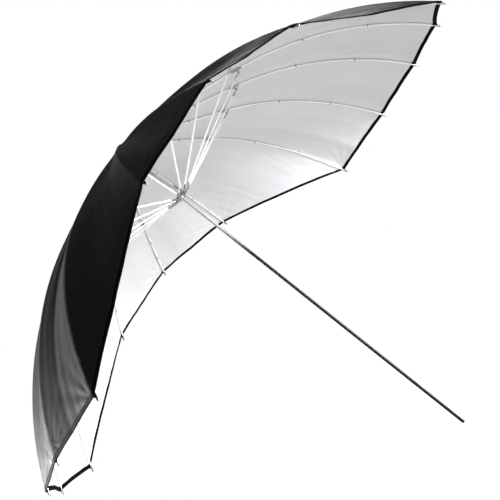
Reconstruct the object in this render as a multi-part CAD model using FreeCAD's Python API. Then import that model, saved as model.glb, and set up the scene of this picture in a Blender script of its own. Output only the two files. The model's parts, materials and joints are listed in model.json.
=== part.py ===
"""Umbrella reflector: an oblong sixteen-rib canopy on an 8 mm shaft, shown open.

Frame: +Z runs up the shaft towards the canopy, +X along the long side of the canopy, origin at the
centre of the shaft's free end. Heights near the canopy are written as depths below its peak.
A rib is drawn in its own plane, as (distance from the shaft, height), and then turned to its azimuth.
"""
import FreeCAD, Part
import math
import os
from FreeCAD import Vector

# Whole object, mm
PEAK_Z = 1112.0              # height of the canopy's peak above the free end
SHAFT_R = 4.0                # outside radius of the shaft tube
SHAFT_BORE_R = 3.2

# Ribs: azimuths in degrees from the long axis, and the end of each kind's centreline (radius, depth)
LONG_TIP = (758.0, 442.5)
CORNER_TIP = (605.5, 252.0)
SIDE_TIP = (582.5, 211.0)
RIB_KINDS = [
    (0.0, LONG_TIP), (18.5, LONG_TIP), (37.0, LONG_TIP), (66.0, CORNER_TIP),
    (90.0, SIDE_TIP), (114.0, CORNER_TIP), (143.0, LONG_TIP), (161.5, LONG_TIP),
    (180.0, LONG_TIP), (198.5, LONG_TIP), (217.0, LONG_TIP), (246.0, CORNER_TIP),
    (270.0, SIDE_TIP), (294.0, CORNER_TIP), (323.0, LONG_TIP), (341.5, LONG_TIP),
]
ROD_R = 2.0                  # fibreglass rib rod
TIP_PROUD = 12.0             # rib end past the fabric's edge
KNEE = (361.5, 115.0)        # where the rib leaves its clip (radius, depth)
KNEE_SLOPE = 21.4            # fall of the rib there, degrees

# Crown and runner
RING_R = 14.0                # radius of both tie wire rings
WIRE_R = 0.6
EYE_PLAY = 0.1               # radial room of an eye on its wire or rivet
CROWN_DEPTH = 11.0           # depth of the crown wire
RUNNER_DEPTH = 206.0         # depth of the runner wire with the canopy open
NOTCH_R = 16.5               # outside radius of the notched rings
NOTCH_ROOT_R = 10.8
NOTCH_W = 2.2
NOTCH_HALF_H = 5.0
RUNNER_BELOW = 10.0          # runner tube below its wire
RUNNER_ABOVE = 8.0
COLLAR_R = 6.2
GRIP_R = 7.4                 # lip at the runner's lower end
GRIP_WAIST_R = 6.0
GRIP_H = 3.0
PIN_COLLAR_R = 7.5
PIN_COLLAR_H = 10.0
CROWN_PIN_R = 1.2
RUNNING_GAP = 0.06           # radial clearance of the runner on the shaft
FIXED_GAP = 0.02             # radial clearance of parts that are pinned or riveted together

# Flattened rod ends and tube ends
EYE_T = 1.6                  # thickness of every flattened eye
EYE_R = 2.6
SHANK_HALF = 1.7             # half width of the flat between an eye and its ferrule
FERRULE_R = 2.28
FERRULE_START = 11.0         # from the eye's centre
FERRULE_SOLID = 3.0          # unbored start of a ferrule
FERRULE_FLOOR_GAP = 0.2      # between that and the rod's end
ROOT_FERRULE_LEN = 20.0
SNUG = 0.03                  # radial gap between a rod and the tube crimped on it

# Rib clip with its two ears
CLIP_R = 2.7
CLIP_LEN = 30.0
EAR_T = 1.0
EAR_R = 3.0
EAR_ROOT_DROP = 2.0          # where an ear meets the sleeve, below the rib's centreline
EAR_DROP = 8.0               # rivet below the rib's centreline
RIVET_BACK = 14.0            # rivet back from the knee, along the rib
RIVET_R = 0.8
RIVET_HEAD_R = 1.6
RIVET_HEAD_T = 0.7
KNEE_GAP = 0.1
ROD_STOP = 6.0               # inner rod's end, back from the knee

# Cap on the rib's outer end
CAP_WALL = 0.45
CAP_OVERLAP = 6.0            # back from the cloth's corner
ROD_PROUD = 2.0              # rod's end past the cloth's corner

# Stretcher
STRETCHER_R = 2.0
HOOK_DROP = 2.4              # rod centreline below the runner wire, so that the hook can lift off it
HOOK_BACK = 1.9              # hook's far side, behind the wire
HOOK_LIP = 0.6               # hook's far side, above the wire's centre
HOOK_WALL = 1.0
HOOK_PLAY = 0.15
LOWER_FERRULE_LEN = 20.0
UPPER_FERRULE_LEN = 14.0

# Catch under the runner
CATCH_GAP = 0.4
CATCH_NOSE_LEN = 9.5
CATCH_REACH = 6.0            # nose tip from the shaft's centreline
CATCH_SHOULDER = 2.0         # height of the nose's flat end
CATCH_LEAF_BACK = 1.9        # leaf's two sides at the nose, from the shaft's centreline
CATCH_LEAF_FRONT = 2.8
CATCH_FOOT = (0.2, 0.8)      # leaf's two sides at its anchor
CATCH_FOOT_R = 1.6
CATCH_W = 2.0
CATCH_LEAF_LEN = 60.0
CATCH_PIN_DEPTH = RUNNER_DEPTH + RUNNER_BELOW + CATCH_GAP + CATCH_LEAF_LEN
CATCH_PIN_R = 0.75
CATCH_PIN_SHORT = 0.1        # pin's ends inside the tube's surface
WINDOW_SIDE = 0.3            # room round the nose in the shaft's window
WINDOW_FOOT = 1.2

# Canopy, as one thin closed shell over the ribs
CLOTH_LIFT = 3.5             # inner face above the rib's centreline
CLOTH_T = 1.2
CLOTH_HOLE_R = 4.6
CROWN_CONE_END = 60.0        # along the rib, where the cone at the peak meets it
CROWN_CONE_DEPTH = 1.6

GROOVE_DEPTH = 745.0         # rolled groove below the closed runner
GROOVE_CUT = 0.25
GROOVE_W = 1.0
PLUG_LIP = 3.0
PLUG_LEN = 14.0
PLUG_ROUND = 1.6
PLUG_GAP = 0.03              # radial clearance of the plug and of the cap's stem
CAP_BUTTON_R = 10.5
CAP_BUTTON_H = 2.4
CAP_BUTTON_ROUND = 1.8
CAP_STEM_LEN = 17.8
SHAFT_TOP_DEPTH = 7.0
WASHER_R = 12.0
WASHER_T = 1.0
WASHER_GAP = 1.2             # from the crown's top to the washer's
THROUGH = 80.0               # length of cutters that pass right through


def up(depth):
    """Height of a depth below the peak."""
    return PEAK_Z - depth


def bend(start, slope, end):
    """Arc in the rib plane from start, falling at slope degrees there, to end: a dict to walk along."""
    fall = math.radians(slope)
    normal = (-math.sin(fall), -math.cos(fall))
    chord = (end[0] - start[0], end[1] - start[1])
    across = chord[0] * normal[0] + chord[1] * normal[1]
    radius = (chord[0] ** 2 + chord[1] ** 2) / (2 * across)
    turn = 2 * math.asin(math.hypot(*chord) / (2 * radius))
    centre = (start[0] + radius * normal[0], start[1] + radius * normal[1])
    return {"centre": centre, "radius": radius, "slope": fall, "length": radius * turn}


def along(arc, distance, lift=0.0):
    """Point at a distance along an arc, lifted off it to the outside."""
    angle = arc["slope"] + distance / arc["radius"]
    reach = arc["radius"] + lift
    return (arc["centre"][0] + reach * math.sin(angle), arc["centre"][1] + reach * math.cos(angle))


def heading(arc, distance):
    """Unit direction of travel at a distance along an arc."""
    angle = arc["slope"] + distance / arc["radius"]
    return (math.cos(angle), -math.sin(angle))


def point(flat, y=0.0):
    """A rib plane point as a vector, y being sideways off the plane."""
    return Vector(flat[0], y, flat[1])


def rod(arc, begin, end, radius, bore=0.0):
    """Round rod, or tube if it has a bore, that follows an arc."""
    direction = heading(arc, begin)
    disc = Part.Face(Part.Wire(Part.makeCircle(radius, point(along(arc, begin)), point(direction))))
    if bore:
        hole = Part.Face(Part.Wire(Part.makeCircle(bore, point(along(arc, begin)), point(direction))))
        disc = disc.cut(hole).Faces[0]
    turn = math.degrees((end - begin) / arc["radius"])
    return disc.revolve(point(arc["centre"]), Vector(0, 1, 0), turn)


def ball(arc, distance, radius):
    """Ball on an arc, its poles along the arc, to round a rod's end."""
    return Part.makeSphere(radius, point(along(arc, distance)), point(heading(arc, distance)))


def plate(outline, thickness, middle=0.0):
    """Flat plate from a rib plane outline, centred at a sideways offset."""
    corners = [point(p, middle - thickness / 2) for p in outline]
    face = Part.Face(Part.makePolygon(corners + corners[:1]))
    return face.extrude(Vector(0, thickness, 0))


def cross_pin(flat, radius, length, middle=0.0):
    """Round pin square to the rib plane, centred at a sideways offset."""
    return Part.makeCylinder(radius, length, point(flat, middle - length / 2), Vector(0, 1, 0))


def strip(start, end, half):
    """Outline of a straight strip of the given half width from start to end."""
    dx = end[0] - start[0]
    dz = end[1] - start[1]
    size = math.hypot(dx, dz)
    side = (-dz / size * half, dx / size * half)
    return [
        (start[0] + side[0], start[1] + side[1]), (end[0] + side[0], end[1] + side[1]),
        (end[0] - side[0], end[1] - side[1]), (start[0] - side[0], start[1] - side[1]),
    ]


def ring(inner, outer, bottom, top):
    """Washer about the shaft between two heights."""
    body = Part.makeCylinder(outer, top - bottom, Vector(0, 0, bottom))
    return body.cut(Part.makeCylinder(inner, top - bottom + 2, Vector(0, 0, bottom - 1)))


def turned(shapes, azimuth):
    """Copies of shapes, turned about the shaft."""
    out = []
    for shape in shapes:
        copy = shape.copy()
        copy.rotate(Vector(0, 0, 0), Vector(0, 0, 1), azimuth)
        out.append(copy)
    return out


# Places that several pieces share, in the rib plane
CROWN_EYE = (RING_R, up(CROWN_DEPTH))
KNEE_AT = (KNEE[0], up(KNEE[1]))
RUNNER_EYE = (RING_R, up(RUNNER_DEPTH))
INNER_CHORD = math.degrees(math.atan2(CROWN_EYE[1] - KNEE_AT[1], KNEE_AT[0] - CROWN_EYE[0]))
INNER_ARC = bend(CROWN_EYE, 2 * INNER_CHORD - KNEE_SLOPE, KNEE_AT)
RIVET_AT = along(INNER_ARC, INNER_ARC["length"] - RIVET_BACK, -EAR_DROP)


def outer_arc(tip):
    """Arc of a rib beyond its clip, for one kind of tip."""
    return bend(KNEE_AT, KNEE_SLOPE, (tip[0], up(tip[1])))


def root_fitting():
    """Flattened eye on the crown wire, running out into a ferrule on the rod."""
    shank = plate(strip(CROWN_EYE, along(INNER_ARC, FERRULE_START + 1), SHANK_HALF), EYE_T)
    eye = cross_pin(CROWN_EYE, EYE_R, EYE_T).fuse(shank)
    bore_start = FERRULE_START + FERRULE_SOLID
    solid_end = rod(INNER_ARC, FERRULE_START, bore_start, FERRULE_R)
    tube = rod(INNER_ARC, bore_start, FERRULE_START + ROOT_FERRULE_LEN, FERRULE_R, ROD_R + SNUG)
    whole = eye.fuse([solid_end, tube]).removeSplitter()
    return whole.cut(cross_pin(CROWN_EYE, WIRE_R + EYE_PLAY, 2 * EYE_T))


def clip():
    """Metal sleeve crimped on the rib, with two ears that carry the stretcher's rivet."""
    finish = INNER_ARC["length"] - ROD_R - KNEE_GAP
    sleeve = rod(INNER_ARC, finish - CLIP_LEN, finish, CLIP_R, ROD_R + SNUG)
    root = along(INNER_ARC, INNER_ARC["length"] - RIVET_BACK, -EAR_ROOT_DROP)
    whole = sleeve
    for side in (-1, 1):
        middle = side * (NOTCH_W / 2 + EAR_T / 2)
        ear = plate(strip(RIVET_AT, root, EAR_R), EAR_T, middle)
        ear = ear.fuse(cross_pin(RIVET_AT, EAR_R, EAR_T, middle))
        whole = whole.fuse(ear)
    whole = whole.cut(cross_pin(RIVET_AT, RIVET_R + FIXED_GAP, THROUGH))
    return whole.removeSplitter()


def rivet():
    """Rivet through the clip's ears."""
    outside = NOTCH_W / 2 + EAR_T + FIXED_GAP
    body = cross_pin(RIVET_AT, RIVET_R, 2 * outside + RIVET_HEAD_T)
    for side in (-1, 1):
        body = body.fuse(cross_pin(RIVET_AT, RIVET_HEAD_R, RIVET_HEAD_T, side * (outside + RIVET_HEAD_T / 2)))
    return body.removeSplitter()


def rib_inner():
    """Inner rib: rod, root fitting, clip and rivet."""
    begin = FERRULE_START + FERRULE_SOLID + FERRULE_FLOOR_GAP
    core = rod(INNER_ARC, begin, INNER_ARC["length"] - ROD_STOP, ROD_R)
    return [core, root_fitting(), clip(), rivet()]


def rib_outer(tip):
    """Outer rib: a rod with a rounded inner end, and the cap that holds the canopy's corner."""
    arc = outer_arc(tip)
    rod_end = arc["length"] + ROD_PROUD
    core = rod(arc, 0, rod_end, ROD_R)
    core = core.fuse(ball(arc, 0, ROD_R)).removeSplitter()
    cap_r = ROD_R + CAP_WALL
    last = arc["length"] + TIP_PROUD - cap_r
    bored_end = rod_end + FERRULE_FLOOR_GAP
    tube = rod(arc, arc["length"] - CAP_OVERLAP, bored_end, cap_r, ROD_R + SNUG)
    nose = rod(arc, bored_end, last, cap_r)
    cap = tube.fuse([nose, ball(arc, last, cap_r)]).removeSplitter()
    return [core, cap]


def stretcher_place(forward, lift):
    """Rib plane point from the runner eye: forward towards the rivet, and lifted square to that."""
    dx = RIVET_AT[0] - RUNNER_EYE[0]
    dz = RIVET_AT[1] - RUNNER_EYE[1]
    size = math.hypot(dx, dz)
    ahead = (dx / size, dz / size)
    return (
        RUNNER_EYE[0] + forward * ahead[0] - lift * ahead[1],
        RUNNER_EYE[1] + forward * ahead[1] + lift * ahead[0],
    )


def straight_tube(start, end, radius, bore=0.0):
    """Straight rod or tube between two rib plane points."""
    axis = point(end) - point(start)
    body = Part.makeCylinder(radius, axis.Length, point(start), axis)
    if bore:
        body = body.cut(Part.makeCylinder(bore, axis.Length, point(start), axis))
    return body


def stretcher_line(span, forward):
    """Place on the rod's own centreline, which climbs from the hook's drop to the rivet eye."""
    return stretcher_place(forward, -HOOK_DROP * (1 - forward / span))


def open_hook():
    """Flat hook, open at the top, that hangs on the runner wire."""
    low = -HOOK_DROP - HOOK_WALL
    floor = -WIRE_R - HOOK_PLAY
    front = FERRULE_START + 1
    outline = [
        (-HOOK_BACK, low), (front, low), (front, floor),
        (floor, floor), (floor, HOOK_LIP), (-HOOK_BACK, HOOK_LIP)]
    return plate([stretcher_place(*place) for place in outline], EYE_T)


def stretcher_ferrule(span, start, sense, length):
    """Solid start and bored sleeve of a ferrule, measured from one end of the stretcher."""
    near = stretcher_line(span, start + sense * FERRULE_START)
    bored = stretcher_line(span, start + sense * (FERRULE_START + FERRULE_SOLID))
    far = stretcher_line(span, start + sense * (FERRULE_START + length))
    return [
        straight_tube(near, bored, FERRULE_R),
        straight_tube(bored, far, FERRULE_R, STRETCHER_R + SNUG)]


def stretcher():
    """Stretcher: rod, open hook at the runner wire and closed eye at the rivet."""
    span = math.hypot(RIVET_AT[0] - RUNNER_EYE[0], RIVET_AT[1] - RUNNER_EYE[1])
    lower = open_hook().fuse(stretcher_ferrule(span, 0, 1, LOWER_FERRULE_LEN))
    eye = cross_pin(RIVET_AT, EYE_R, EYE_T)
    shank_end = stretcher_line(span, span - FERRULE_START - 1)
    shank = plate(strip(RIVET_AT, shank_end, SHANK_HALF), EYE_T)
    upper = eye.fuse([shank] + stretcher_ferrule(span, span, -1, UPPER_FERRULE_LEN))
    upper = upper.cut(cross_pin(RIVET_AT, RIVET_R + EYE_PLAY, 2 * EYE_T))
    margin = FERRULE_START + FERRULE_SOLID + FERRULE_FLOOR_GAP
    core = straight_tube(stretcher_line(span, margin), stretcher_line(span, span - margin), STRETCHER_R)
    return [core, lower.removeSplitter(), upper.removeSplitter()]


def notched_ring(middle):
    """Ring with one slot per rib, and a groove around it for the tie wire."""
    body = Part.makeCylinder(NOTCH_R, 2 * NOTCH_HALF_H, Vector(0, 0, middle - NOTCH_HALF_H))
    slot = Part.makeBox(NOTCH_R, NOTCH_W, 2 * NOTCH_HALF_H + 2)
    slot.translate(Vector(NOTCH_ROOT_R, -NOTCH_W / 2, middle - NOTCH_HALF_H - 1))
    for azimuth, _ in RIB_KINDS:
        body = body.cut(turned([slot], azimuth)[0])
    gap = WIRE_R + 0.05
    return body.cut(ring(RING_R - gap, NOTCH_R + 1, middle - gap, middle + gap))


def tie_wire(middle):
    """Ring of wire that every eye hangs on."""
    return Part.makeTorus(RING_R, WIRE_R, Vector(0, 0, middle))


def crown_hub():
    """Notched ring at the top of the shaft, with a pinned collar under it."""
    middle = up(CROWN_DEPTH)
    bottom = middle - NOTCH_HALF_H - PIN_COLLAR_H
    body = notched_ring(middle)
    body = body.fuse(Part.makeCylinder(PIN_COLLAR_R, PIN_COLLAR_H, Vector(0, 0, bottom)))
    body = body.cut(Part.makeCylinder(SHAFT_R + FIXED_GAP, THROUGH, Vector(0, 0, middle - THROUGH / 2)))
    return body.cut(crown_pin(FIXED_GAP)).removeSplitter()


def crown_pin(grow=0.0):
    """Cross pin through the crown's collar and the shaft."""
    depth = CROWN_DEPTH + NOTCH_HALF_H + PIN_COLLAR_H / 2
    length = 2 * PIN_COLLAR_R + 2 * grow
    return Part.makeCylinder(CROWN_PIN_R + grow, length, Vector(0, -length / 2, up(depth)), Vector(0, 1, 0))


def runner_body():
    """Runner: notched ring with a short tube above and below it."""
    middle = up(RUNNER_DEPTH)
    tube = Part.makeCylinder(
        COLLAR_R, RUNNER_ABOVE + RUNNER_BELOW, Vector(0, 0, middle - RUNNER_BELOW))
    bottom = middle - RUNNER_BELOW
    grip = ring(GRIP_WAIST_R, GRIP_R, bottom, bottom + GRIP_H)
    body = notched_ring(middle).fuse([tube, grip])
    bore = Part.makeCylinder(SHAFT_R + RUNNING_GAP, THROUGH, Vector(0, 0, middle - THROUGH / 2))
    return body.cut(bore).removeSplitter()


def catch_window():
    """Slot in the shaft for the catch's nose, on the +Y side."""
    top = RUNNER_DEPTH + RUNNER_BELOW - WINDOW_SIDE
    length = CATCH_GAP + CATCH_NOSE_LEN + WINDOW_FOOT
    width = CATCH_W + 2 * WINDOW_SIDE
    slot = Part.makeBox(width, 2 * SHAFT_R, length)
    slot.translate(Vector(-width / 2, 0, up(top + length)))
    return slot


def catch_pin(grow=0.0):
    """Pin across the shaft that anchors the catch spring."""
    length = 2 * (SHAFT_R - CATCH_PIN_SHORT + grow)
    start = Vector(-length / 2, 0, up(CATCH_PIN_DEPTH))
    return Part.makeCylinder(CATCH_PIN_R + grow, length, start, Vector(1, 0, 0))


def catch_spring():
    """Leaf spring inside the shaft, with a wedge nose that holds the open runner."""
    shoulder = up(RUNNER_DEPTH + RUNNER_BELOW + CATCH_GAP)
    anchor = up(CATCH_PIN_DEPTH)
    nose_foot = shoulder - CATCH_NOSE_LEN
    outline = [
        (CATCH_LEAF_BACK, shoulder), (CATCH_REACH, shoulder), (CATCH_REACH, shoulder - CATCH_SHOULDER),
        (CATCH_LEAF_FRONT, nose_foot), (CATCH_FOOT[1], anchor), (CATCH_FOOT[0], anchor),
        (CATCH_LEAF_BACK, nose_foot)]
    body = plate(outline, CATCH_W).fuse(cross_pin((0, anchor), CATCH_FOOT_R, CATCH_W))
    body = body.cut(cross_pin((0, anchor), CATCH_PIN_R + EYE_PLAY / 2, THROUGH))
    return turned([body.removeSplitter()], 90)[0]


def shaft_tube():
    """Steel tube of the shaft, with its catch window, pin holes and rolled groove."""
    tube = ring(SHAFT_BORE_R, SHAFT_R, PLUG_LIP, up(SHAFT_TOP_DEPTH))
    groove = up(GROOVE_DEPTH)
    tube = tube.cut(ring(SHAFT_R - GROOVE_CUT, SHAFT_R + 1, groove - GROOVE_W / 2, groove + GROOVE_W / 2))
    return tube.cut([catch_window(), catch_pin(FIXED_GAP), crown_pin(FIXED_GAP)])


def shaft_end_plug():
    """Rounded plug in the free end."""
    lip = Part.makeCylinder(SHAFT_R, PLUG_LIP - FIXED_GAP)
    lip = lip.makeFillet(PLUG_ROUND, [e for e in lip.Edges if e.BoundBox.ZMax < PLUG_LIP / 2])
    return lip.fuse(Part.makeCylinder(SHAFT_BORE_R - PLUG_GAP, PLUG_LEN)).removeSplitter()


def top_cap():
    """Shallow domed button that clamps the fabric, on a stem in the shaft's top."""
    dome = Part.makeCylinder(CAP_BUTTON_R, CAP_BUTTON_H, Vector(0, 0, PEAK_Z))
    top_edges = [e for e in dome.Edges if e.BoundBox.ZMin > PEAK_Z + CAP_BUTTON_H / 2]
    dome = dome.makeFillet(CAP_BUTTON_ROUND, top_edges)
    stem_length = CAP_STEM_LEN + FIXED_GAP
    stem = Part.makeCylinder(SHAFT_BORE_R - PLUG_GAP, stem_length, Vector(0, 0, up(CAP_STEM_LEN)))
    return dome.fuse(stem).removeSplitter()


def crown_washer():
    """Soft washer between the crown and the fabric."""
    top = up(CROWN_DEPTH - NOTCH_HALF_H - WASHER_GAP)
    return ring(CLOTH_HOLE_R, WASHER_R, top - WASHER_T, top)


def cloth_edges(tip, lift, azimuth):
    """The three edges of one face of the canopy over a rib: cone at the peak, inner arc, outer arc."""
    arc = outer_arc(tip)
    rise = lift - CLOTH_LIFT
    hole = (CLOTH_HOLE_R, up(CROWN_CONE_DEPTH) + rise)
    joint = INNER_ARC["length"]
    cone = Part.LineSegment(point(hole), point(along(INNER_ARC, CROWN_CONE_END, lift))).toShape()
    inner = Part.Arc(
        point(along(INNER_ARC, CROWN_CONE_END, lift)),
        point(along(INNER_ARC, (CROWN_CONE_END + joint) / 2, lift)),
        point(along(INNER_ARC, joint, lift))).toShape()
    outer = Part.Arc(
        point(along(INNER_ARC, joint, lift)), point(along(arc, arc["length"] / 2, lift)),
        point(along(arc, arc["length"], lift))).toShape()
    return turned([cone, inner, outer], azimuth)


def between(first, second):
    """Straight edge between two vertices."""
    return Part.LineSegment(first.Point, second.Point).toShape()


def canopy():
    """Thin closed shell over all ribs, a flat-ruled gore between each two."""
    lifts = (CLOTH_LIFT, CLOTH_LIFT + CLOTH_T)
    lines = [[cloth_edges(tip, lift, azimuth) for lift in lifts] for azimuth, tip in RIB_KINDS]
    faces = []
    for here, there in zip(lines, lines[1:] + lines[:1]):
        for side in (0, 1):
            for a, b in zip(here[side], there[side]):
                faces.append(Part.makeRuledSurface(a, b))
        for place, end in ((0, 0), (2, -1)):
            low = between(here[0][place].Vertexes[end], there[0][place].Vertexes[end])
            high = between(here[1][place].Vertexes[end], there[1][place].Vertexes[end])
            faces.append(Part.makeRuledSurface(low, high))
    shell = Part.makeShell(faces)
    shell.sewShape()
    solid = Part.makeSolid(shell)
    if solid.Volume < 0:
        solid.reverse()
    return solid


def save(name, shapes):
    """Write one node, a lone solid or a group of separate ones."""
    shape = shapes[0].Solids[0] if len(shapes) == 1 else Part.makeCompound([s.Solids[0] for s in shapes])
    shape.exportStep(os.path.join("parts", name + ".step"))


def main():
    os.makedirs("parts", exist_ok=True)
    inner = rib_inner()
    strut = stretcher()
    for number, (azimuth, tip) in enumerate(RIB_KINDS, start=1):
        save(f"rib_inner_{number:02d}", turned(inner, azimuth))
        save(f"rib_outer_{number:02d}", turned(rib_outer(tip), azimuth))
        save(f"stretcher_{number:02d}", turned(strut, azimuth))
    save("shaft_tube", [shaft_tube()])
    save("shaft_end_plug", [shaft_end_plug()])
    save("crown_hub", [crown_hub()])
    save("crown_tie_wire", [tie_wire(up(CROWN_DEPTH))])
    save("crown_pin", [crown_pin()])
    save("crown_washer", [crown_washer()])
    save("top_cap", [top_cap()])
    save("runner_body", [runner_body()])
    save("runner_tie_wire", [tie_wire(up(RUNNER_DEPTH))])
    save("catch_spring", [catch_spring()])
    save("catch_pin", [catch_pin()])
    save("canopy", [canopy()])


main()
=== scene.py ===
"""Umbrella reflector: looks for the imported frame. The cloth canopy is built here, over the ribs of the frame.

Metres, in the row's frame: +Z up the shaft, +X along the canopy's long side. A rib is described in its own upright
plane as (distance from the shaft, height), and a place on it as a share: 0 at the crown, 1 at the knee by the
clip, 2 at the canopy's corner.
"""
import json
import math
import bpy
import numpy as np
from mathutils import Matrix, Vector


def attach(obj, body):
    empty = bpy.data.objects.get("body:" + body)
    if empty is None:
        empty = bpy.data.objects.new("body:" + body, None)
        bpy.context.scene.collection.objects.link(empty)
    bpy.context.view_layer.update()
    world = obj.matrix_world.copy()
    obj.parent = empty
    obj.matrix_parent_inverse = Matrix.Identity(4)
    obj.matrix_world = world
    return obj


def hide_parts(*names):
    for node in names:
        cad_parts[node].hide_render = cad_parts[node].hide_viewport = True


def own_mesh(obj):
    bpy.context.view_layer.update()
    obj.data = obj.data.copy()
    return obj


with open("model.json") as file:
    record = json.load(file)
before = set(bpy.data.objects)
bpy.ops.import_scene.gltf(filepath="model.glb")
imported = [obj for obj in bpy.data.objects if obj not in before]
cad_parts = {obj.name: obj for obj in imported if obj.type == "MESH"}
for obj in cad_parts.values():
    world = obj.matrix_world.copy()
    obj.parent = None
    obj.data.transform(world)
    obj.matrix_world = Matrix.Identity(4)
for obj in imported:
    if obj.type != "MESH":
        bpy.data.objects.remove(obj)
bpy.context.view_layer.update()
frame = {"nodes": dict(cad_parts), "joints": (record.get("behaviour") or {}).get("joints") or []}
NODES = frame["nodes"]
JOINTS = {joint["name"]: joint for joint in frame["joints"]}
NUMBERS = sorted(name[-2:] for name in JOINTS if name.startswith("rib_fold_"))

# ---- sizes, in metres ------------------------------------------------------------------------------------------
KNEE_SLOPE = math.radians(21.4)   # fall of a rib where it leaves its clip
TIP_PROUD = 0.011                 # rib end past the cloth
CLOTH_LIFT = 0.0044               # middle of the cloth above the rib's centreline
CLOTH_T = 0.0009                  # thickness, as built
HOLE_R = 0.0046                   # cloth opening round the shaft's top
CONE_END = 0.060                  # along the rib, where the cloth's cone at the peak meets it
PEAK_DROP = 0.0012                # cloth at its opening, below the peak
TAPE_W = 0.0105                   # rim binding
TAPE_EXTRA = 0.0009               # the doubled, turned-in binding stands off the cloth on both sides
TAPE_STEP = 0.0008                # width of the slope at the binding's edge
TAPE_ROWS = 2                     # of the grid's rows, those over the binding
SEAM_W = 0.004                    # half width of the felled seam over a rib
SEAM_EXTRA = 0.0003               # how much it stands up
EVEN_SCALLOP = 0.016              # how far the rim pulls in between two like ribs, as a share of their spacing
UNEVEN_SCALLOP = 0.031            # the same between two unlike ribs
GORE_SAG = 0.058                  # share of a gore's width that its middle sinks
RIM_SAG = 0.2                     # share of that sinking left at the rim, where the binding is taut
SAG_PER_METRE = 1.0               # cap on these shares, per metre of a gore's width: folded cloth then clears its rib
SEAM_EASE = 0.9                   # how much of the corner between two gores is eased beside the seam
SEAM_EASE_WIDTH = 0.009           # over this distance from the seam
PEAK_SAG = 0.055                  # what is added to that share between the peak and the clips
HALF_COLS = 24                    # grid columns in half a gore
SEAM_CROWDING = 0.5               # how much closer the grid's columns are at the seams than on average
INNER_ROWS = 44                   # grid rows between the crown and the clips
OUTER_ROWS = 68                   # the same between the clips and the rim
SHAFT_SHADE = (0.66, 0.82)        # heights between which the shaft's painted reflection goes from dark to light
UNEVEN_REACH = 0.01               # two ribs whose lengths differ by more are unlike
FAN_HEIGHT = 0.0010               # folds that fan out from a gore's corners
FAN_RISE = 0.06                   # distance from the corner at which they are full
FAN_FADE = 0.11                   # distance over which they die out
RIPPLE_HEIGHT = 0.0002            # small puckers along the seams
RIPPLE_RISE = 0.008               # distance from the seam at which they are full
RIPPLE_FADE = 0.02                # distance over which they die out
RIPPLE_RIM = 0.03                 # distance from the rim at which they start to die out towards it
WAVES = ((1.6, 0.0012), (3.3, 0.0006), (5.9, 0.0004))    # long soft folds: waves across a gore, height
POCKET_LIFT = 0.0012              # tip pocket's middle above the rib's centreline
POCKET_BACK = 0.012               # how far it reaches back from the canopy's corner
POCKET_AHEAD = 0.0015             # how far it reaches past that corner
POCKET_RADII = (0.0027, 0.0029, 0.0030, 0.0031, 0.0031, 0.0031, 0.0030, 0.0029, 0.0027)
POCKET_TURNS = 16
INNER_TIES = (0.12, 0.22)         # distances of the ties along a rib, from the crown
OUTER_TIES = (0.33, 0.66)         # and from the clip, as shares of the outer part
TIE_LIFT = 0.0004                 # middle of a tie above the rib's centreline
TIE_PITCH = 0.0006                # half the distance between a tie's two turns
TIE_R = 0.0023                    # from the rib's centreline to the thread's own
TIE_SLACK = 0.0004                # more than that on the cloth's side
THREAD_R = 0.0005                 # of the thread
AHEAD = 0.001                     # step along a rib that gives its direction
PATCH_R = 0.030                   # round patch at the peak
PATCH_GAP = 0.0004                # between the cloth's opening and the patch's own
PATCH_LIFTS = (0.0009, 0.0004)    # its top and its underside over the cloth
PATCH_SLOPE = math.radians(17)    # fall of the cloth under it
PATCH_STRETCH = 1.045             # distance along the rib for each unit of distance from the shaft
PLAIN_CLOTH = 0.05                # seam and rim distance that shows neither: the patch has no seams of its own


# ---- rib geometry, read from the frame -------------------------------------------------------------------------
class Arc:
    """Circle arc in a rib's plane that leaves start at a given fall and ends at end."""

    def __init__(self, start, slope, end):
        normal = np.array([-math.sin(slope), -math.cos(slope)])
        chord = np.subtract(end, start)
        self.radius = chord @ chord / (2 * chord @ normal)
        self.centre = np.array(start) + self.radius * normal
        self.slope = slope
        self.length = self.radius * 2 * math.asin(np.linalg.norm(chord) / (2 * self.radius))

    def at(self, distance, lift=0.0):
        """Points at distances along the arc, lifted off its outside."""
        angle = self.slope + np.asarray(distance) / self.radius
        reach = self.radius + lift
        return np.stack([self.centre[0] + reach * np.sin(angle), self.centre[1] + reach * np.cos(angle)], -1)


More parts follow.
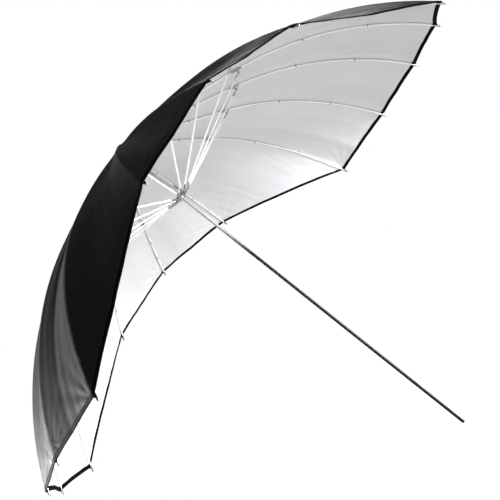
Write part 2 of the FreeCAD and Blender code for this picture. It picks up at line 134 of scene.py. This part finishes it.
class Rib:
    """One rib: its azimuth, its inner and outer arcs and the bodies it is made of."""

    def __init__(self, number):
        fold = JOINTS["rib_fold_" + number]
        flex = JOINTS["rib_flex_" + number]
        self.number = number
        self.across = np.array(fold["axis"], float)
        self.out = np.array([self.across[1], -self.across[0], 0.0])
        self.azimuth = math.atan2(self.out[1], self.out[0]) % (2 * math.pi)
        self.root = self.flat(fold["pos_m"])
        self.knee = self.flat(flex["pos_m"])
        self.knee_world = np.array(flex["pos_m"])
        chord = np.subtract(self.knee, self.root)
        chord_slope = math.atan2(-chord[1], chord[0])
        self.inner = Arc(self.root, 2 * chord_slope - KNEE_SLOPE, self.knee)
        self.outer = Arc(self.knee, KNEE_SLOPE, self.end_of_cap())
        self.reach = self.outer.length - TIP_PROUD

    def flat(self, place):
        """A point's distance from the shaft along this rib, and its height."""
        return np.array([np.dot(place, self.out), place[2]])

    def end_of_cap(self):
        """Middle of the rounded end of the rib's cap."""
        co = np.array([v.co for v in NODES["rib_outer_" + self.number].data.vertices])
        away = np.linalg.norm(co - self.knee_world, axis=1)
        return self.flat(co[away > away.max() - 0.0006].mean(0))

    def line(self, share, lift):
        """Points of the rib's plane at shares along it, lifted off its outside."""
        share = np.asarray(share, float)
        inner = np.clip(share, 0, 1) * self.inner.length
        flat = self.inner.at(inner, lift)
        hole = np.array([HOLE_R, CAP_UNDER_Z - PEAK_DROP + lift - CLOTH_LIFT])
        joint = self.inner.at(CONE_END, lift)
        along = np.clip(inner / CONE_END, 0, 1)[..., None]
        flat = np.where(along < 1, hole + (joint - hole) * along, flat)
        outer = self.outer.at(np.clip(share - 1, 0, None) * self.reach, lift)
        return np.where(share[..., None] > 1, outer, flat)

    def world(self, flat, side=0.0):
        """Row frame points from rib plane points."""
        flat = np.asarray(flat, float)
        side = np.asarray(side, float)
        return flat[..., :1] * self.out + flat[..., 1:] * np.array([0, 0, 1.0]) + side[..., None] * self.across

    def body(self, outer):
        return ("rib_outer_" if outer else "rib_inner_") + self.number


def cap_underside():
    """Height of the top cap's widest level, its underside."""
    co = np.array([v.co for v in NODES["top_cap"].data.vertices])
    wide = np.hypot(co[:, 0], co[:, 1]) > 0.009
    return float(co[wide, 2].min())


CAP_UNDER_Z = cap_underside()
RIBS = sorted((Rib(number) for number in NUMBERS), key=lambda rib: rib.azimuth)


# ---- node material helpers -------------------------------------------------------------------------------------
class Paint:
    """A node material being put together."""

    def __init__(self, name, **settings):
        self.material = bpy.data.materials.new(name)
        self.material.use_nodes = True
        self.tree = self.material.node_tree
        self.shader = self.tree.nodes["Principled BSDF"]
        for label, value in settings.items():
            self.shader.inputs[label.replace("_", " ")].default_value = value

    def node(self, kind, **settings):
        made = self.tree.nodes.new("ShaderNode" + kind)
        for label, value in settings.items():
            setattr(made, label, value)
        return made

    def link(self, source, target):
        self.tree.links.new(source, target)

    def maths(self, operation, a, b=0.0):
        node = self.node("Math", operation=operation)
        for socket, source in zip(node.inputs, (a, b)):
            if isinstance(source, (int, float)):
                socket.default_value = source
            else:
                self.link(source, socket)
        return node.outputs[0]

    def attribute(self, name):
        return self.node("Attribute", attribute_name=name).outputs["Fac"]

    def place(self):
        return self.node("TexCoord").outputs["Object"]

    def woven(self, across, along):
        """Texture place measured on the cloth itself: across the gore and along it."""
        node = self.node("CombineXYZ")
        self.link(self.maths("MULTIPLY", self.attribute("across"), across), node.inputs[0])
        self.link(self.maths("MULTIPLY", self.attribute("along"), along), node.inputs[1])
        self.link(self.maths("MULTIPLY", self.attribute("gore"), 7.3), node.inputs[2])
        return node.outputs["Vector"]

    def stretched(self, scale):
        node = self.node("Mapping")
        node.inputs["Scale"].default_value = scale
        self.link(self.place(), node.inputs["Vector"])
        return node.outputs["Vector"]

    def noise(self, scale, detail=3.0, where=None, rough=0.5):
        node = self.node("TexNoise")
        node.inputs["Scale"].default_value = scale
        node.inputs["Detail"].default_value = detail
        node.inputs["Roughness"].default_value = rough
        self.link(where or self.place(), node.inputs["Vector"])
        return node.outputs["Fac"]

    def ramp(self, source, low, high):
        """Source rescaled so that 0..1 becomes low..high."""
        node = self.node("MapRange")
        self.link(source, node.inputs["Value"])
        node.inputs["To Min"].default_value = low
        node.inputs["To Max"].default_value = high
        return node.outputs["Result"]

    def window(self, source, start, end, low=0.0, high=1.0):
        """Smooth step from low at start to high at end."""
        node = self.node("MapRange", interpolation_type="SMOOTHSTEP")
        self.link(source, node.inputs["Value"])
        node.inputs["From Min"].default_value = start
        node.inputs["From Max"].default_value = end
        node.inputs["To Min"].default_value = low
        node.inputs["To Max"].default_value = high
        return node.outputs["Result"]

    def mix(self, factor, first, second):
        """Colour between two colours or sockets."""
        node = self.node("Mix", data_type="RGBA")
        for socket, source in ((node.inputs[0], factor), (node.inputs[6], first), (node.inputs[7], second)):
            if isinstance(source, (int, float)):
                socket.default_value = source
            elif isinstance(source, tuple):
                socket.default_value = (*source, 1.0)
            else:
                self.link(source, socket)
        return node.outputs[2]

    def bump(self, height, distance, strength=1.0, under=None):
        node = self.node("Bump")
        node.inputs["Distance"].default_value = distance
        node.inputs["Strength"].default_value = strength
        self.link(height, node.inputs["Height"])
        if under is not None:
            self.link(under, node.inputs["Normal"])
        return node.outputs["Normal"]

    def set(self, label, source):
        self.link(source, self.shader.inputs[label])


def weave(paint, pitch):
    """Height of a plain weave from the cloth's own across and along distances."""
    turn = 2 * math.pi / pitch
    warp = paint.maths("SINE", paint.maths("MULTIPLY", paint.attribute("across"), turn))
    weft = paint.maths("SINE", paint.maths("MULTIPLY", paint.attribute("along"), turn))
    return paint.maths("MULTIPLY", warp, weft)


def stitches(paint, distance, line, half, pitch, travel="run"):
    """Raised dashes along a line at a given distance from an edge, pitch apart."""
    off = paint.maths("ABSOLUTE", paint.maths("SUBTRACT", distance, line))
    row = paint.window(off, half, half * 0.4, 0.0, 1.0)
    beat = paint.maths("SINE", paint.maths("MULTIPLY", paint.attribute(travel), 2 * math.pi / pitch))
    return paint.maths("MULTIPLY", row, paint.window(beat, -0.2, 0.3))


def cloth_bumps(paint, pucker, streak, crease):
    """Normal that the cloth materials share: long soft folds, puckers by the seams, stitches and the weave."""
    seam = paint.attribute("seam")
    close = paint.window(seam, 0.002, 0.034, 1.0, 0.0)
    puckers = paint.maths("MULTIPLY", paint.noise(1.0, 2.0, paint.woven(26.0, 120.0)), close)
    streaks = paint.noise(1.0, 3.0, paint.woven(34.0, 2.2), 0.5)
    creases = paint.noise(11.0, 5.0, None, 0.55)
    sewn = stitches(paint, seam, 0.0026, 0.0004, 0.0035, "along")
    first = paint.bump(creases, crease, 0.25)
    second = paint.bump(streaks, streak, 1.0, first)
    third = paint.bump(puckers, pucker, 1.0, second)
    fourth = paint.bump(sewn, 0.0003, 0.8, third)
    return paint.bump(weave(paint, 0.0009), 0.00003, 0.3, fourth)


def black_cloth():
    """Black nylon outside of the canopy: near black, a soft sheen, faint folds."""
    paint = Paint("black_nylon", Roughness=0.5, Sheen_Weight=0.02, Sheen_Roughness=0.35, Specular_IOR_Level=0.12)
    shade = paint.noise(6.0, 4.0)
    paint.set("Base Color", paint.mix(shade, (0.0055, 0.0050, 0.0053), (0.0100, 0.0092, 0.0096)))
    paint.set("Roughness", paint.ramp(paint.noise(35.0, 3.0), 0.42, 0.56))
    paint.shader.inputs["Sheen Tint"].default_value = (0.75, 0.70, 0.70, 1)
    paint.set("Normal", cloth_bumps(paint, 0.0008, 0.0007, 0.0006))
    return paint.material


def silver_cloth():
    """Silver coating inside: bright, soft, slightly uneven."""
    paint = Paint("silver_coating", Metallic=0.6, Roughness=0.4)
    seam = paint.window(paint.attribute("seam"), 0.0, 0.010, 0.0, 1.0)
    shade = paint.noise(8.0, 4.0)
    base = paint.mix(shade, (0.88, 0.88, 0.905), (0.96, 0.96, 0.98))
    paint.set("Base Color", paint.mix(seam, (0.68, 0.68, 0.69), base))
    paint.set("Roughness", paint.ramp(paint.noise(30.0, 3.0), 0.30, 0.46))
    paint.set("Normal", cloth_bumps(paint, 0.0012, 0.0026, 0.0016))
    return paint.material


def tape():
    """Black binding tape with a row of stitches."""
    paint = Paint("binding_tape", Roughness=0.8, Specular_IOR_Level=0.03)
    paint.set("Base Color", paint.mix(paint.noise(90.0), (0.001, 0.001, 0.001), (0.003, 0.003, 0.003)))
    rib = paint.maths("SINE", paint.maths("MULTIPLY", paint.attribute("run"), 2 * math.pi / 0.0012))
    dashes = stitches(paint, paint.attribute("rim"), TAPE_W * 0.75, 0.0005, 0.004)
    paint.set("Normal", paint.bump(dashes, 0.0005, 1.0, paint.bump(rib, 0.0001, 0.6)))
    return paint.material


def glass_fibre():
    """Off-white glass-fibre rod: fine streaks along it and a slight green cast."""
    paint = Paint("glass_fibre", Roughness=0.38)
    streak = paint.noise(420.0, 3.0)
    paint.set("Base Color", paint.mix(streak, (0.88, 0.90, 0.80), (0.96, 0.97, 0.92)))
    paint.set("Roughness", paint.ramp(paint.noise(160.0), 0.30, 0.46))
    paint.set("Normal", paint.bump(streak, 0.0002, 0.4))
    return paint.material


def nickel(name="nickel_plate", dark=(0.30, 0.27, 0.25), light=(0.66, 0.61, 0.57)):
    """Nickel-plated steel with rubbed patches."""
    paint = Paint(name, Metallic=1.0, Roughness=0.3)
    wear = paint.noise(180.0, 5.0)
    paint.set("Base Color", paint.mix(wear, dark, light))
    paint.set("Roughness", paint.ramp(paint.noise(260.0, 4.0), 0.16, 0.36))
    paint.set("Normal", paint.bump(paint.noise(900.0, 2.0), 0.0001, 0.4))
    return paint.material


def bright_steel():
    """Plated tube with fine drawn lines along it, with a painted reflection: light inside the canopy and near black
    below it, for the bright canopy and the dark surroundings that it reflects.
    """
    paint = Paint("bright_steel", Metallic=1.0, Roughness=0.4)
    lines = paint.noise(8.0, 1.0, paint.stretched((30.0, 30.0, 0.1)))
    height = paint.node("SeparateXYZ")
    paint.link(paint.node("NewGeometry").outputs["Position"], height.inputs[0])
    # painted reflection: near-black colour for the dark surroundings below the canopy, steel grey for the bright
    # canopy above
    dark = paint.mix(lines, (0.014, 0.012, 0.010), (0.020, 0.017, 0.015))
    light = paint.mix(lines, (0.38, 0.36, 0.33), (0.45, 0.43, 0.40))
    paint.set("Base Color", paint.mix(paint.window(height.outputs["Z"], *SHAFT_SHADE), dark, light))
    return paint.material


def felt():
    """Black felt of the crown washer."""
    paint = Paint("black_felt", Roughness=0.95)
    fuzz = paint.noise(1400.0, 4.0)
    paint.set("Base Color", paint.mix(fuzz, (0.006, 0.006, 0.006), (0.03, 0.03, 0.03)))
    paint.set("Normal", paint.bump(fuzz, 0.0004, 0.8))
    return paint.material


def thread():
    """Twisted dark thread of the ties."""
    paint = Paint("tie_thread", Roughness=0.8)
    twist = paint.noise(1500.0, 2.0)
    paint.set("Base Color", paint.mix(twist, (0.004, 0.004, 0.004), (0.012, 0.012, 0.012)))
    paint.set("Normal", paint.bump(twist, 0.0003, 0.9))
    return paint.material


BLACK = black_cloth()
SILVER = silver_cloth()
TAPE = tape()
FIBRE = glass_fibre()
NICKEL = nickel()
PAINTED_REFLECTION_STEEL = bright_steel()
FELT = felt()
THREAD = thread()
SPRING = nickel("spring_steel", (0.12, 0.12, 0.13), (0.32, 0.32, 0.33))


# ---- materials of the frame's own pieces -----------------------------------------------------------------------
def weld_labels(mesh):
    """Part labels where corners split by the file format count as joined."""
    co = np.round(np.array([v.co for v in mesh.vertices]), 6)
    _, same = np.unique(co, axis=0, return_inverse=True)
    same = same.ravel()
    edges = np.array([edge.vertices[:] for edge in mesh.edges])
    label = np.arange(same.max() + 1)
    a, b = same[edges[:, 0]], same[edges[:, 1]]
    while True:
        before = label.copy()
        low = np.minimum(label[a], label[b])
        np.minimum.at(label, a, low)
        np.minimum.at(label, b, low)
        label = label[label]
        if (label == before).all():
            return label[same]


def paint_rod_node(node):
    """White rod, metal fittings: the longest solid of the node is the rod."""
    mesh = node.data
    labels = weld_labels(mesh)
    co = np.array([v.co for v in mesh.vertices])
    spans = {part: np.ptp(co[labels == part], axis=0).max() for part in np.unique(labels)}
    rod = max(spans, key=spans.get)
    mesh.materials.clear()
    mesh.materials.append(FIBRE)
    mesh.materials.append(NICKEL)
    for face in mesh.polygons:
        face.material_index = 0 if labels[face.vertices[0]] == rod else 1


def paint_frame():
    """Materials for every node of the frame."""
    # the shaft's pieces take the steel whose colour holds a painted reflection, darker towards the bottom
    whole = {
        "shaft_tube": PAINTED_REFLECTION_STEEL, "shaft_end_plug": PAINTED_REFLECTION_STEEL, "crown_hub": NICKEL, "crown_tie_wire": SPRING,
        "crown_pin": SPRING, "crown_washer": FELT, "top_cap": NICKEL, "runner_body": NICKEL,
        "runner_tie_wire": SPRING, "catch_spring": SPRING, "catch_pin": SPRING,
    }
    for name, node in NODES.items():
        if name in whole:
            node.data.materials.clear()
            node.data.materials.append(whole[name])
        elif name != "canopy":
            paint_rod_node(node)


# ---- canopy cloth ----------------------------------------------------------------------------------------------
def smooth(x):
    """Smooth step from 0 at 0 to 1 at 1."""
    x = np.clip(x, 0, 1)
    return x * x * (3 - 2 * x)


def folds(gore, u, share, seed, turn):
    """Height of the cloth's folds off its smooth surface, at every grid point of a gore that spans an angle turn."""
    width, along, to_rim = gore["width"], gore["along"], gore["rim"]
    middle = np.sin(math.pi * u) ** 2
    near_peak = smooth(share / 0.12) * (1 - smooth((share - 0.25) / 0.9))
    taut = 1 - (1 - RIM_SAG) * smooth((share - 1.25) / 0.75)
    sag = GORE_SAG * smooth(share / 0.5) * taut + PEAK_SAG * near_peak
    height = -width * middle * np.minimum(sag, width * SAG_PER_METRE)
    for seam in (width * u, width * (1 - u)):
        height += SEAM_EASE * math.tan(turn / 2) * seam * np.exp(-(seam / SEAM_EASE_WIDTH) ** 2) * smooth(share)
    rng = np.random.default_rng(seed)
    for seam in (width * u, width * (1 - u)):
        reach = np.hypot(seam, to_rim)
        angle = np.arctan2(seam, to_rim + 1e-9)
        count = rng.uniform(13, 18)
        fan = np.sin(count * angle + rng.uniform(0, 6)) * np.sin(np.clip(angle * 1.15, 0, math.pi))
        height += FAN_HEIGHT * fan * smooth(reach / FAN_RISE) * np.exp(-reach / FAN_FADE)
        beat = rng.uniform(0.030, 0.036)
        ripple = np.sin(2 * math.pi * along / beat + 3 * np.sin(along * rng.uniform(9, 14)) + rng.uniform(0, 6))
        near_seam = smooth(seam / RIPPLE_RISE) * np.exp(-seam / RIPPLE_FADE)
        height += RIPPLE_HEIGHT * ripple * near_seam * smooth(to_rim / RIPPLE_RIM)
    for waves, size in WAVES:
        drift = rng.uniform(0, 6) + rng.uniform(0.6, 1.6) * np.sin(along * rng.uniform(2.5, 5.0) + rng.uniform(0, 6))
        reach = 0.55 + 0.45 * np.sin(along * rng.uniform(4, 8) + rng.uniform(0, 6))
        height += size * reach * np.sin(2 * math.pi * waves * u + drift) * middle * smooth(share / 0.7)
    return height


def outer_shares(rib):
    """Rows from the clip to the rim: even ones over the cloth, then the binding's edge and the binding."""
    edge = 1 - TAPE_W / rib.reach
    cloth = np.linspace(0, edge - TAPE_STEP / rib.reach, OUTER_ROWS - TAPE_ROWS)
    return 1 + np.concatenate([cloth, np.linspace(edge, 1, TAPE_ROWS + 1)])


def gore_grid(rib_a, rib_b, seed):
    """Points, normals and cloth measures of one whole gore, as rows from the peak to the rim."""
    inner = np.linspace(0, 1, INNER_ROWS + 1)
    t = np.linspace(0, 1, 2 * HALF_COLS + 1)[None, :]
    u = t - SEAM_CROWDING * np.sin(2 * math.pi * t) / (2 * math.pi)
    side_a, side_b = (np.concatenate([inner, outer_shares(rib)[1:]])[:, None] for rib in (rib_a, rib_b))
    share = side_a * (1 - u) + side_b * u
    reach = rib_a.reach * (1 - u) + rib_b.reach * u
    corners = [rib.world(rib.line(2.0, CLOTH_LIFT)) for rib in (rib_a, rib_b)]
    uneven = abs(rib_a.reach - rib_b.reach) > UNEVEN_REACH
    depth = (UNEVEN_SCALLOP if uneven else EVEN_SCALLOP) * np.linalg.norm(corners[0] - corners[1])
    pulled = share - depth / reach * 4 * u * (1 - u) * smooth(share - 1)
    a = rib_a.world(rib_a.line(pulled, CLOTH_LIFT))
    b = rib_b.world(rib_b.line(pulled, CLOTH_LIFT))
    base = a + (b - a) * u[..., None]
    width = np.linalg.norm(b - a, axis=-1)
    gore = {
        "width": width, "across": width * (u - 0.5), "seam": np.minimum(width * u, width * (1 - u)),
        "along": np.clip(pulled, 0, 1) * rib_a.inner.length + np.clip(pulled - 1, 0, 1) * reach,
        "rim": (2 - side_a) * rib_a.reach * (1 - u) + (2 - side_b) * rib_b.reach * u,
        "gore": np.full(base.shape[:2], float(seed)),
    }
    height = folds(gore, u, share, seed, (rib_b.azimuth - rib_a.azimuth) % (2 * math.pi))
    middle = base + grid_normals(base) * height[..., None]
    return middle, grid_normals(middle), gore


def grid_normals(points):
    """Outward normals of a grid of points."""
    down = np.gradient(points, axis=0)
    side = np.gradient(points, axis=1)
    normal = np.cross(down, side)
    normal /= np.maximum(np.linalg.norm(normal, axis=-1, keepdims=True), 1e-12)
    return normal if normal[..., 2].mean() > 0 else -normal


def sheet_piece(name, middle, normal, measures, seam_lift):
    """Closed thin sheet on a grid: black outside, silver inside, tape along the rim."""
    rows, cols = middle.shape[:2]
    in_tape = measures["rim"] < TAPE_W + TAPE_STEP / 2
    half = CLOTH_T / 2 + np.where(in_tape, TAPE_EXTRA, 0.0)
    top = middle + normal * (half + seam_lift)[..., None]
    low = middle - normal * half[..., None]
    points = np.concatenate([top.reshape(-1, 3), low.reshape(-1, 3)])
    normals = np.concatenate([normal.reshape(-1, 3), -normal.reshape(-1, 3)])
    index = np.arange(rows * cols).reshape(rows, cols)
    faces, kinds = [], []
    size = rows * cols
    tape_face = in_tape[:-1, :-1] & in_tape[1:, 1:] & in_tape[1:, :-1] & in_tape[:-1, 1:]
    for r in range(rows - 1):
        for c in range(cols - 1):
            quad = [index[r, c], index[r + 1, c], index[r + 1, c + 1], index[r, c + 1]]
            faces.append(quad)
            kinds.append(2 if tape_face[r, c] else 0)
            faces.append([i + size for i in reversed(quad)])
            kinds.append(2 if tape_face[r, c] else 1)
    border = np.concatenate([index[0, :], index[1:, -1], index[-1, -2::-1], index[-2:0:-1, 0]])
    for a, b in zip(border, np.roll(border, -1)):
        faces.append([a, b, b + size, a + size])
        kinds.append(2)
    mesh = bpy.data.meshes.new(name)
    mesh.from_pydata(points.tolist(), [], [list(map(int, f)) for f in faces])
    wound_out = np.dot(mesh.polygons[0].normal, normals[faces[0][0]]) > 0
    if not wound_out:
        mesh.flip_normals()
    for material in (BLACK, SILVER, TAPE):
        mesh.materials.append(material)
    mesh.polygons.foreach_set("material_index", kinds)
    mesh.polygons.foreach_set("use_smooth", [True] * len(faces))
    walls = len(faces) - len(border)
    corner_normals = np.zeros((len(mesh.loops), 3))
    for number, face in enumerate(mesh.polygons):
        for loop in face.loop_indices:
            vertex = mesh.loops[loop].vertex_index
            corner_normals[loop] = normals[vertex] if number < walls else face.normal
    mesh.normals_split_custom_set(corner_normals.tolist())
    for label, values in measures.items():
        layer = mesh.attributes.new(label, "FLOAT", "POINT")
        layer.data.foreach_set("value", np.tile(values.astype(np.float32).ravel(), 2))
    piece = bpy.data.objects.new(name, mesh)
    bpy.context.scene.collection.objects.link(piece)
    return piece


def add_gore(number, rib_a, rib_b):
    """One gore as four pieces that meet edge to edge: each half of it rides on its own rib."""
    middle, normal, measures = gore_grid(rib_a, rib_b, number)
    rim_step = np.linalg.norm(np.diff(middle, axis=1), axis=-1)
    measures["run"] = np.pad(np.cumsum(rim_step, axis=1), ((0, 0), (1, 0)))
    seam_lift = np.where(measures["seam"] < SEAM_W, SEAM_EXTRA, 0.0)
    knee = INNER_ROWS
    spans = {"upper": (slice(0, knee + 1), False), "lower": (slice(knee, None), True)}
    halves = {"a": (slice(0, HALF_COLS + 1), rib_a), "b": (slice(HALF_COLS, None), rib_b)}
    for level, (rows, outer) in spans.items():
        for half, (cols, rib) in halves.items():
            cut = (rows, cols)
            piece = sheet_piece(
                f"canopy_{level}_{number:02d}{half}", middle[cut], normal[cut],
                {label: values[cut] for label, values in measures.items()}, seam_lift[cut])
            settle(piece, rib, outer)


def settle(piece, rib, outer):
    """Cloth on one rib: rides on it and stands for the canopy."""
    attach(piece, rib.body(outer))
    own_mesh(piece)
    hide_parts("canopy")


# ---- small sewn pieces -----------------------------------------------------------------------------------------
def tube_rings(centres, sides, radii, turns):
    """Closed tube through centres, each ring round its own axis pair, as points and faces."""
    points, faces = [], []
    for centre, (one, two), radius in zip(centres, sides, radii):
        for step in range(turns):
            angle = 2 * math.pi * step / turns
            points.append(centre + radius * (math.cos(angle) * one + math.sin(angle) * two))
    count = len(centres)
    for ring in range(count - 1):
        for step in range(turns):
            a = ring * turns + step
            b = ring * turns + (step + 1) % turns
            faces.append([a, b, b + turns, a + turns])
    faces.append(list(range(turns))[::-1])
    faces.append(list(range((count - 1) * turns, count * turns)))
    return points, faces


def new_piece(name, points, faces, material):
    """Smooth-shaded piece of one material."""
    mesh = bpy.data.meshes.new(name)
    mesh.from_pydata([tuple(p) for p in points], [], faces)
    mesh.materials.append(material)
    mesh.polygons.foreach_set("use_smooth", [True] * len(faces))
    piece = bpy.data.objects.new(name, mesh)
    bpy.context.scene.collection.objects.link(piece)
    return piece


def rib_spot(rib, arc, distance, lift):
    """A point along one arc of a rib, and the direction the rib has there."""
    here = rib.world(arc.at(distance, lift))
    ahead = rib.world(arc.at(distance + AHEAD, lift))
    return here, (ahead - here) / np.linalg.norm(ahead - here)


def add_tip_pocket(rib):
    """Small black pocket that slips over the rib's cap and pulls the canopy's corner tight."""
    centres, sides = [], []
    for distance in np.linspace(rib.reach - POCKET_BACK, rib.reach + POCKET_AHEAD, len(POCKET_RADII)):
        here, forward = rib_spot(rib, rib.outer, distance, POCKET_LIFT)
        centres.append(here)
        sides.append((rib.across, np.cross(forward, rib.across)))
    points, faces = tube_rings(centres, sides, POCKET_RADII, POCKET_TURNS)
    piece = new_piece("tip_pocket_" + rib.number, points, faces, TAPE)
    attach(piece, rib.body(True))


def add_ties(rib, outer, distances):
    """Thread loops that hold the canopy's seam to the rib."""
    arc = rib.outer if outer else rib.inner
    points, faces = [], []
    for distance in distances:
        here, forward = rib_spot(rib, arc, distance, TIE_LIFT)
        up = np.cross(forward, rib.across)
        for offset in (-TIE_PITCH, TIE_PITCH):
            start = len(points)
            loop, loop_faces = thread_ring(here + forward * offset, rib.across, up, forward)
            points += loop
            faces += [[i + start for i in face] for face in loop_faces]
    piece = new_piece(f"ties_{'outer' if outer else 'inner'}_{rib.number}", points, faces, THREAD)
    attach(piece, rib.body(outer))


def thread_ring(centre, across, up, forward):
    """One turn of thread round a rod."""
    big, small = 24, 8
    points, faces = [], []
    for i in range(big):
        angle = 2 * math.pi * i / big
        radial = math.cos(angle) * across + math.sin(angle) * up
        loop = TIE_R + TIE_SLACK * max(0.0, math.sin(angle))
        for j in range(small):
            turn = 2 * math.pi * j / small
            points.append(centre + radial * (loop + THREAD_R * math.cos(turn)) + forward * THREAD_R * math.sin(turn))
            a, b = i * small, ((i + 1) % big) * small
            faces.append([a + j, b + j, b + (j + 1) % small, a + (j + 1) % small])
    return points, faces


def add_crown_patch():
    """Round reinforcing patch sewn over the canopy's peak."""
    rings, spokes = 10, 96
    profile = np.linspace(HOLE_R + PATCH_GAP, PATCH_R, rings)
    points = []
    for lift in PATCH_LIFTS:
        for r in profile:
            for s in range(spokes):
                angle = 2 * math.pi * s / spokes
                height = peak_surface(r) + lift
                points.append((r * math.cos(angle), r * math.sin(angle), height))
    faces = []
    size = rings * spokes
    for ring in range(rings - 1):
        for s in range(spokes):
            a, b = ring * spokes + s, ring * spokes + (s + 1) % spokes
            faces.append([a, a + spokes, b + spokes, b])
            faces.append([b + size, b + spokes + size, a + spokes + size, a + size])
    for ring in (0, rings - 1):
        for s in range(spokes):
            a, b = ring * spokes + s, ring * spokes + (s + 1) % spokes
            faces.append([a, b, b + size, a + size] if ring == 0 else [b, a, a + size, b + size])
    piece = new_piece("crown_patch", points, faces, BLACK)
    for label in ("across", "along", "run", "gore"):
        piece.data.attributes.new(label, "FLOAT", "POINT")
    for label in ("seam", "rim"):
        layer = piece.data.attributes.new(label, "FLOAT", "POINT")
        layer.data.foreach_set("value", [PLAIN_CLOTH] * len(points))
    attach(piece, "shaft")


def peak_surface(radius):
    """Height of the cloth's outside near the peak."""
    share = radius * PATCH_STRETCH / RIBS[0].inner.length
    flat = RIBS[0].line(np.array([share]), CLOTH_LIFT + CLOTH_T / 2)[0]
    return flat[1] + (flat[0] - radius) * math.tan(PATCH_SLOPE)


# ---- stage -----------------------------------------------------------------------------------------------------
FLOOR_HALF = 60
FLOOR_Z = -0.01
FLOOR_GLOW = 0.36                 # what the pieces see of the floor's own light; the camera sees all of it
WORLD_GLOW = 0.14                 # the same for the background
CAMERA_PLACE = (-0.920, -2.293, 0.4275)
CAMERA_TURN = (99.35, 51.11, -14.64)     # degrees
CAMERA_LENS = 70.5                # millimetres, on a 36 mm sensor


def add_floor():
    """Plain pale floor below the shaft's end."""
    mesh = bpy.data.meshes.new("floor")
    corners = [(-1, -1), (1, -1), (1, 1), (-1, 1)]
    mesh.from_pydata([(x * FLOOR_HALF, y * FLOOR_HALF, FLOOR_Z) for x, y in corners], [], [[0, 1, 2, 3]])
    floor = bpy.data.objects.new("floor", mesh)
    paint = Paint("floor_paint", Roughness=0.9)
    paint.shader.inputs["Base Color"].default_value = (0.25, 0.25, 0.25, 1)
    paint.shader.inputs["Emission Color"].default_value = (1, 1, 1, 1)
    path = paint.node("LightPath")
    paint.set("Emission Strength", paint.ramp(path.outputs["Is Camera Ray"], FLOOR_GLOW, 1.0))
    mesh.materials.append(paint.material)
    bpy.context.scene.collection.objects.link(floor)


def add_light(name, toward, size, power, target=(0, 0, 0.9)):
    """Soft square lamp at a place, aimed at the canopy."""
    lamp = bpy.data.lights.new(name, "AREA")
    lamp.shape = "SQUARE"
    lamp.size = size
    place_lamp(name, lamp, toward, power, target)


def add_spot(name, toward, wide, power, target):
    """Lamp with a narrow cone, aimed at one side of the canopy."""
    lamp = bpy.data.lights.new(name, "SPOT")
    lamp.spot_size = math.radians(wide)
    lamp.spot_blend = 0.7
    lamp.shadow_soft_size = 0.3
    place_lamp(name, lamp, toward, power, target)


def place_lamp(name, lamp, toward, power, target):
    """Hang a lamp where it is aimed from, out of the camera's sight."""
    lamp.energy = power
    holder = bpy.data.objects.new(name, lamp)
    holder.location = toward
    aim = Vector(target) - Vector(toward)
    holder.rotation_euler = aim.to_track_quat("-Z", "Y").to_euler()
    holder.visible_camera = False
    bpy.context.scene.collection.objects.link(holder)


def add_world():
    """White background that lights the pieces only faintly."""
    world = bpy.data.worlds.new("studio")
    world.use_nodes = True
    nodes, links = world.node_tree.nodes, world.node_tree.links
    back = nodes["Background"]
    path = nodes.new("ShaderNodeLightPath")
    strength = nodes.new("ShaderNodeMapRange")
    strength.inputs["To Min"].default_value = WORLD_GLOW
    strength.inputs["To Max"].default_value = 1.0
    links.new(path.outputs["Is Camera Ray"], strength.inputs["Value"])
    links.new(strength.outputs["Result"], back.inputs["Strength"])
    back.inputs["Color"].default_value = (1, 1, 1, 1)
    bpy.context.scene.world = world


def add_camera():
    """Camera at the photo's angle."""
    camera = bpy.data.objects.new("camera", bpy.data.cameras.new("camera"))
    camera.data.sensor_width = 36
    camera.data.lens = CAMERA_LENS
    camera.location = CAMERA_PLACE
    camera.rotation_euler = [math.radians(a) for a in CAMERA_TURN]
    bpy.context.scene.collection.objects.link(camera)
    bpy.context.scene.camera = camera


# ---- build -----------------------------------------------------------------------------------------------------
paint_frame()
for gore, (rib_a, rib_b) in enumerate(zip(RIBS, RIBS[1:] + RIBS[:1]), start=1):
    add_gore(gore, rib_a, rib_b)
for rib in RIBS:
    add_tip_pocket(rib)
    add_ties(rib, False, INNER_TIES)
    add_ties(rib, True, [rib.reach * share for share in OUTER_TIES])
add_crown_patch()
add_floor()
add_world()
add_spot("left", (-2.3, 2.1, 1.25), 26, 2200, (-0.70, 0, 0.98))
add_light("behind", (2.6, 2.0, 2.2), 1.5, 30)
add_light("inside", (1.7, -1.7, 0.12), 0.6, 240, (-0.2, 0, 0.8))
add_light("front", (0.8, -1.9, 0.25), 0.9, 20, (-0.1, 0, 0.9))
add_light("beside", (-1.2, -1.6, 0.2), 0.4, 10, (0.2, 0, 0.9))
add_camera()
bpy.context.scene.view_settings.view_transform = "Standard"
